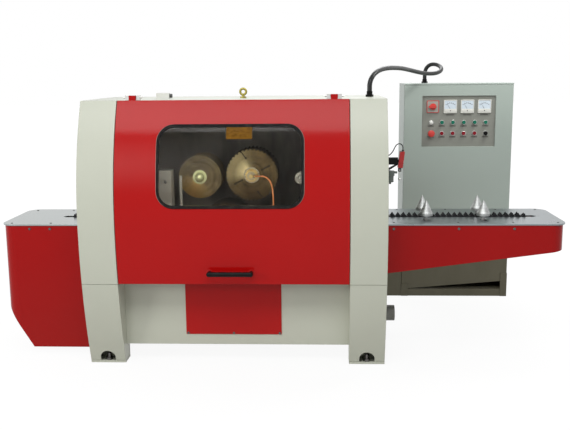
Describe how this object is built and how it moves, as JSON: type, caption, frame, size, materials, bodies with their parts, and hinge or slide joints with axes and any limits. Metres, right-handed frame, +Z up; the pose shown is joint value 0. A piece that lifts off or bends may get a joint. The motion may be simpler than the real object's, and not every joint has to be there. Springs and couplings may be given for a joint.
{
  "type": "multi rip saw",
  "caption": "Chain-fed multi rip saw: red-and-grey barrel-fronted body with a window door, spiked feed chain through two tables, centring cones and a separate control cabinet.",
  "frame": {"origin": "on the floor, under the middle of the overall footprint without the cords", "axes": "+X along the feed line towards the infeed table, +Y from the operator's side to the cabinet, +Z up"},
  "size_m": [3.385, 2.07, 1.7775],
  "materials": {
    "pale_grey_paint": "satin paint",
    "cabinet_paint": "satin paint",
    "red_paint": "gloss paint",
    "table_steel": "ground steel",
    "chain_steel": "oiled dark steel",
    "bright_steel": "turned steel",
    "saw_steel": "ground saw steel",
    "cone_aluminium": "turned aluminium",
    "machine_grey": "machine enamel",
    "brass": "bright",
    "copper_tube": "copper-coloured tube",
    "white_plastic": "moulded",
    "black_plastic": "moulded",
    "window_glass": "clear sheet",
    "gasket_rubber": "extruded rubber",
    "green_plastic": "moulded",
    "red_plastic": "moulded"
  },
  "bodies": {
    "frame": {"base_frame": "pale_grey_paint", "front_legs": "pale_grey_paint", "side_columns": "pale_grey_paint", "top_cover": "pale_grey_paint", "access_panel": "red_paint", "fasteners": "bright_steel", "table_skirts": "red_paint", "table_plates": "table_steel", "chain_rail": "table_steel", "feed_chain": "chain_steel", "bearing_housings": "machine_grey", "drive_motors": "machine_grey", "coolant_union": "brass", "coolant_tube": "copper_tube", "hinge_blocks": "bright_steel", "interlock_switch": "white_plastic", "lifting_eye": "brass", "conduit_glands": "black_plastic", "power_conduit": "black_plastic", "switch_bracket": "black_plastic", "limit_switch": "red_paint", "switch_cable": "black_plastic", "filter_bowl": "machine_grey", "dust_spigot": "machine_grey", "cabinet_body": "cabinet_paint", "cabinet_plinth": "cabinet_paint", "guide_block": "pale_grey_paint"},
    "front_door": {"front_door": "red_paint", "window_pane": "window_glass", "window_gasket": "gasket_rubber", "door_handle": "black_plastic"},
    "upper_saws": {"upper_arbor": "bright_steel", "upper_blades": "saw_steel", "upper_nut": "brass"},
    "lower_saws": {"lower_arbor": "bright_steel", "lower_blades": "saw_steel"},
    "guide_disc_set": {"guide_shaft": "bright_steel", "guide_discs": "saw_steel", "guide_nut": "brass"},
    "drive_wheel": {"drive_sprocket": "bright_steel"},
    "idler_wheel": {"idler_sprocket": "bright_steel"},
    "cone_front_1": {"cone_front_1": "cone_aluminium"},
    "cone_rear_1": {"cone_rear_1": "cone_aluminium"},
    "cone_front_2": {"cone_front_2": "cone_aluminium"},
    "cone_rear_2": {"cone_rear_2": "cone_aluminium"},
    "switch_lever": {"switch_lever": "bright_steel"},
    "cabinet_door": {"cabinet_door": "cabinet_paint", "panel_fittings": "black_plastic"},
    "green_button_1": {"green_button_1": "green_plastic"},
    "green_button_2": {"green_button_2": "green_plastic"},
    "green_button_3": {"green_button_3": "green_plastic"},
    "green_button_4": {"green_button_4": "green_plastic"},
    "green_button_5": {"green_button_5": "green_plastic"},
    "red_button_1": {"red_button_1": "red_plastic"},
    "red_button_2": {"red_button_2": "red_plastic"},
    "red_button_3": {"red_button_3": "red_plastic"},
    "red_button_4": {"red_button_4": "red_plastic"},
    "stop_mushroom": {"stop_mushroom": "red_plastic"},
    "selector_knob": {"selector_knob": "black_plastic"},
    "main_switch_knob": {"main_switch_knob": "red_plastic"}
  },
  "joints": [
    {"name": "front_door_lift", "type": "hinge", "parent": "frame", "child": "front_door", "pos_m": [-0.2575, -0.78484, 1.574], "axis": [-1, 0, 0], "range_deg": [0, 80]},
    {"name": "upper_saws_turn", "type": "hinge", "parent": "frame", "child": "upper_saws", "pos_m": [-0.1745, -0.456, 1.095], "axis": [0, 1, 0], "continuous": true},
    {"name": "lower_saws_turn", "type": "hinge", "parent": "frame", "child": "lower_saws", "pos_m": [-0.3325, -0.456, 0.77], "axis": [0, 1, 0], "continuous": true},
    {"name": "guide_discs_turn", "type": "hinge", "parent": "frame", "child": "guide_disc_set", "pos_m": [-0.4925, -0.456, 1.084], "axis": [0, 1, 0], "continuous": true},
    {"name": "feed_drive", "type": "hinge", "parent": "frame", "child": "drive_wheel", "pos_m": [-1.2875, -0.456, 0.74739], "axis": [0, -1, 0], "continuous": true, "deforming": ["feed_chain"]},
    {"name": "idler_turn", "type": "hinge", "parent": "frame", "child": "idler_wheel", "pos_m": [1.4775, -0.456, 0.74739], "axis": [0, -1, 0], "continuous": true},
    {"name": "cone_front_1_slide", "type": "slide", "parent": "frame", "child": "cone_front_1", "axis": [0, 1, 0], "range_m": [-0.05, 0.025]},
    {"name": "cone_rear_1_slide", "type": "slide", "parent": "frame", "child": "cone_rear_1", "axis": [0, 1, 0], "range_m": [-0.025, 0.05]},
    {"name": "cone_front_2_slide", "type": "slide", "parent": "frame", "child": "cone_front_2", "axis": [0, 1, 0], "range_m": [-0.05, 0.025]},
    {"name": "cone_rear_2_slide", "type": "slide", "parent": "frame", "child": "cone_rear_2", "axis": [0, 1, 0], "range_m": [-0.025, 0.05]},
    {"name": "switch_lever_swing", "type": "hinge", "parent": "frame", "child": "switch_lever", "pos_m": [0.7205, -0.556, 1.122], "axis": [0, 1, 0], "range_deg": [-35, 35], "stiffness_Nm_per_rad": 0.05},
    {"name": "cabinet_door_swing", "type": "hinge", "parent": "frame", "child": "cabinet_door", "pos_m": [1.6575, 0.643, 1], "axis": [0, 0, 1], "range_deg": [0, 95]},
    {"name": "green_button_1_press", "type": "slide", "parent": "cabinet_door", "child": "green_button_1", "axis": [0, 1, 0], "range_m": [0, 0.004], "stiffness_N_per_m": 400},
    {"name": "green_button_2_press", "type": "slide", "parent": "cabinet_door", "child": "green_button_2", "axis": [0, 1, 0], "range_m": [0, 0.004], "stiffness_N_per_m": 400},
    {"name": "green_button_3_press", "type": "slide", "parent": "cabinet_door", "child": "green_button_3", "axis": [0, 1, 0], "range_m": [0, 0.004], "stiffness_N_per_m": 400},
    {"name": "green_button_4_press", "type": "slide", "parent": "cabinet_door", "child": "green_button_4", "axis": [0, 1, 0], "range_m": [0, 0.004], "stiffness_N_per_m": 400},
    {"name": "green_button_5_press", "type": "slide", "parent": "cabinet_door", "child": "green_button_5", "axis": [0, 1, 0], "range_m": [0, 0.004], "stiffness_N_per_m": 400},
    {"name": "red_button_1_press", "type": "slide", "parent": "cabinet_door", "child": "red_button_1", "axis": [0, 1, 0], "range_m": [0, 0.004], "stiffness_N_per_m": 400},
    {"name": "red_button_2_press", "type": "slide", "parent": "cabinet_door", "child": "red_button_2", "axis": [0, 1, 0], "range_m": [0, 0.004], "stiffness_N_per_m": 400},
    {"name": "red_button_3_press", "type": "slide", "parent": "cabinet_door", "child": "red_button_3", "axis": [0, 1, 0], "range_m": [0, 0.004], "stiffness_N_per_m": 400},
    {"name": "red_button_4_press", "type": "slide", "parent": "cabinet_door", "child": "red_button_4", "axis": [0, 1, 0], "range_m": [0, 0.004], "stiffness_N_per_m": 400},
    {"name": "stop_press", "type": "slide", "parent": "cabinet_door", "child": "stop_mushroom", "axis": [0, 1, 0], "range_m": [0, 0.005], "stiffness_N_per_m": 600},
    {"name": "selector_turn", "type": "hinge", "parent": "cabinet_door", "child": "selector_knob", "pos_m": [1.47, 0.649, 1.252], "axis": [0, 1, 0], "range_deg": [-45, 45]},
    {"name": "main_switch_turn", "type": "hinge", "parent": "cabinet_door", "child": "main_switch_knob", "pos_m": [1.0785, 0.649, 1.45], "axis": [0, 1, 0], "range_deg": [0, 90]}
  ],
  "couplings": [
    {"joint": "idler_turn", "follows": "feed_drive", "ratio": 1},
    {"joint": "cone_rear_1_slide", "follows": "cone_front_1_slide", "ratio": -1},
    {"joint": "cone_rear_2_slide", "follows": "cone_front_2_slide", "ratio": -1}
  ]
}
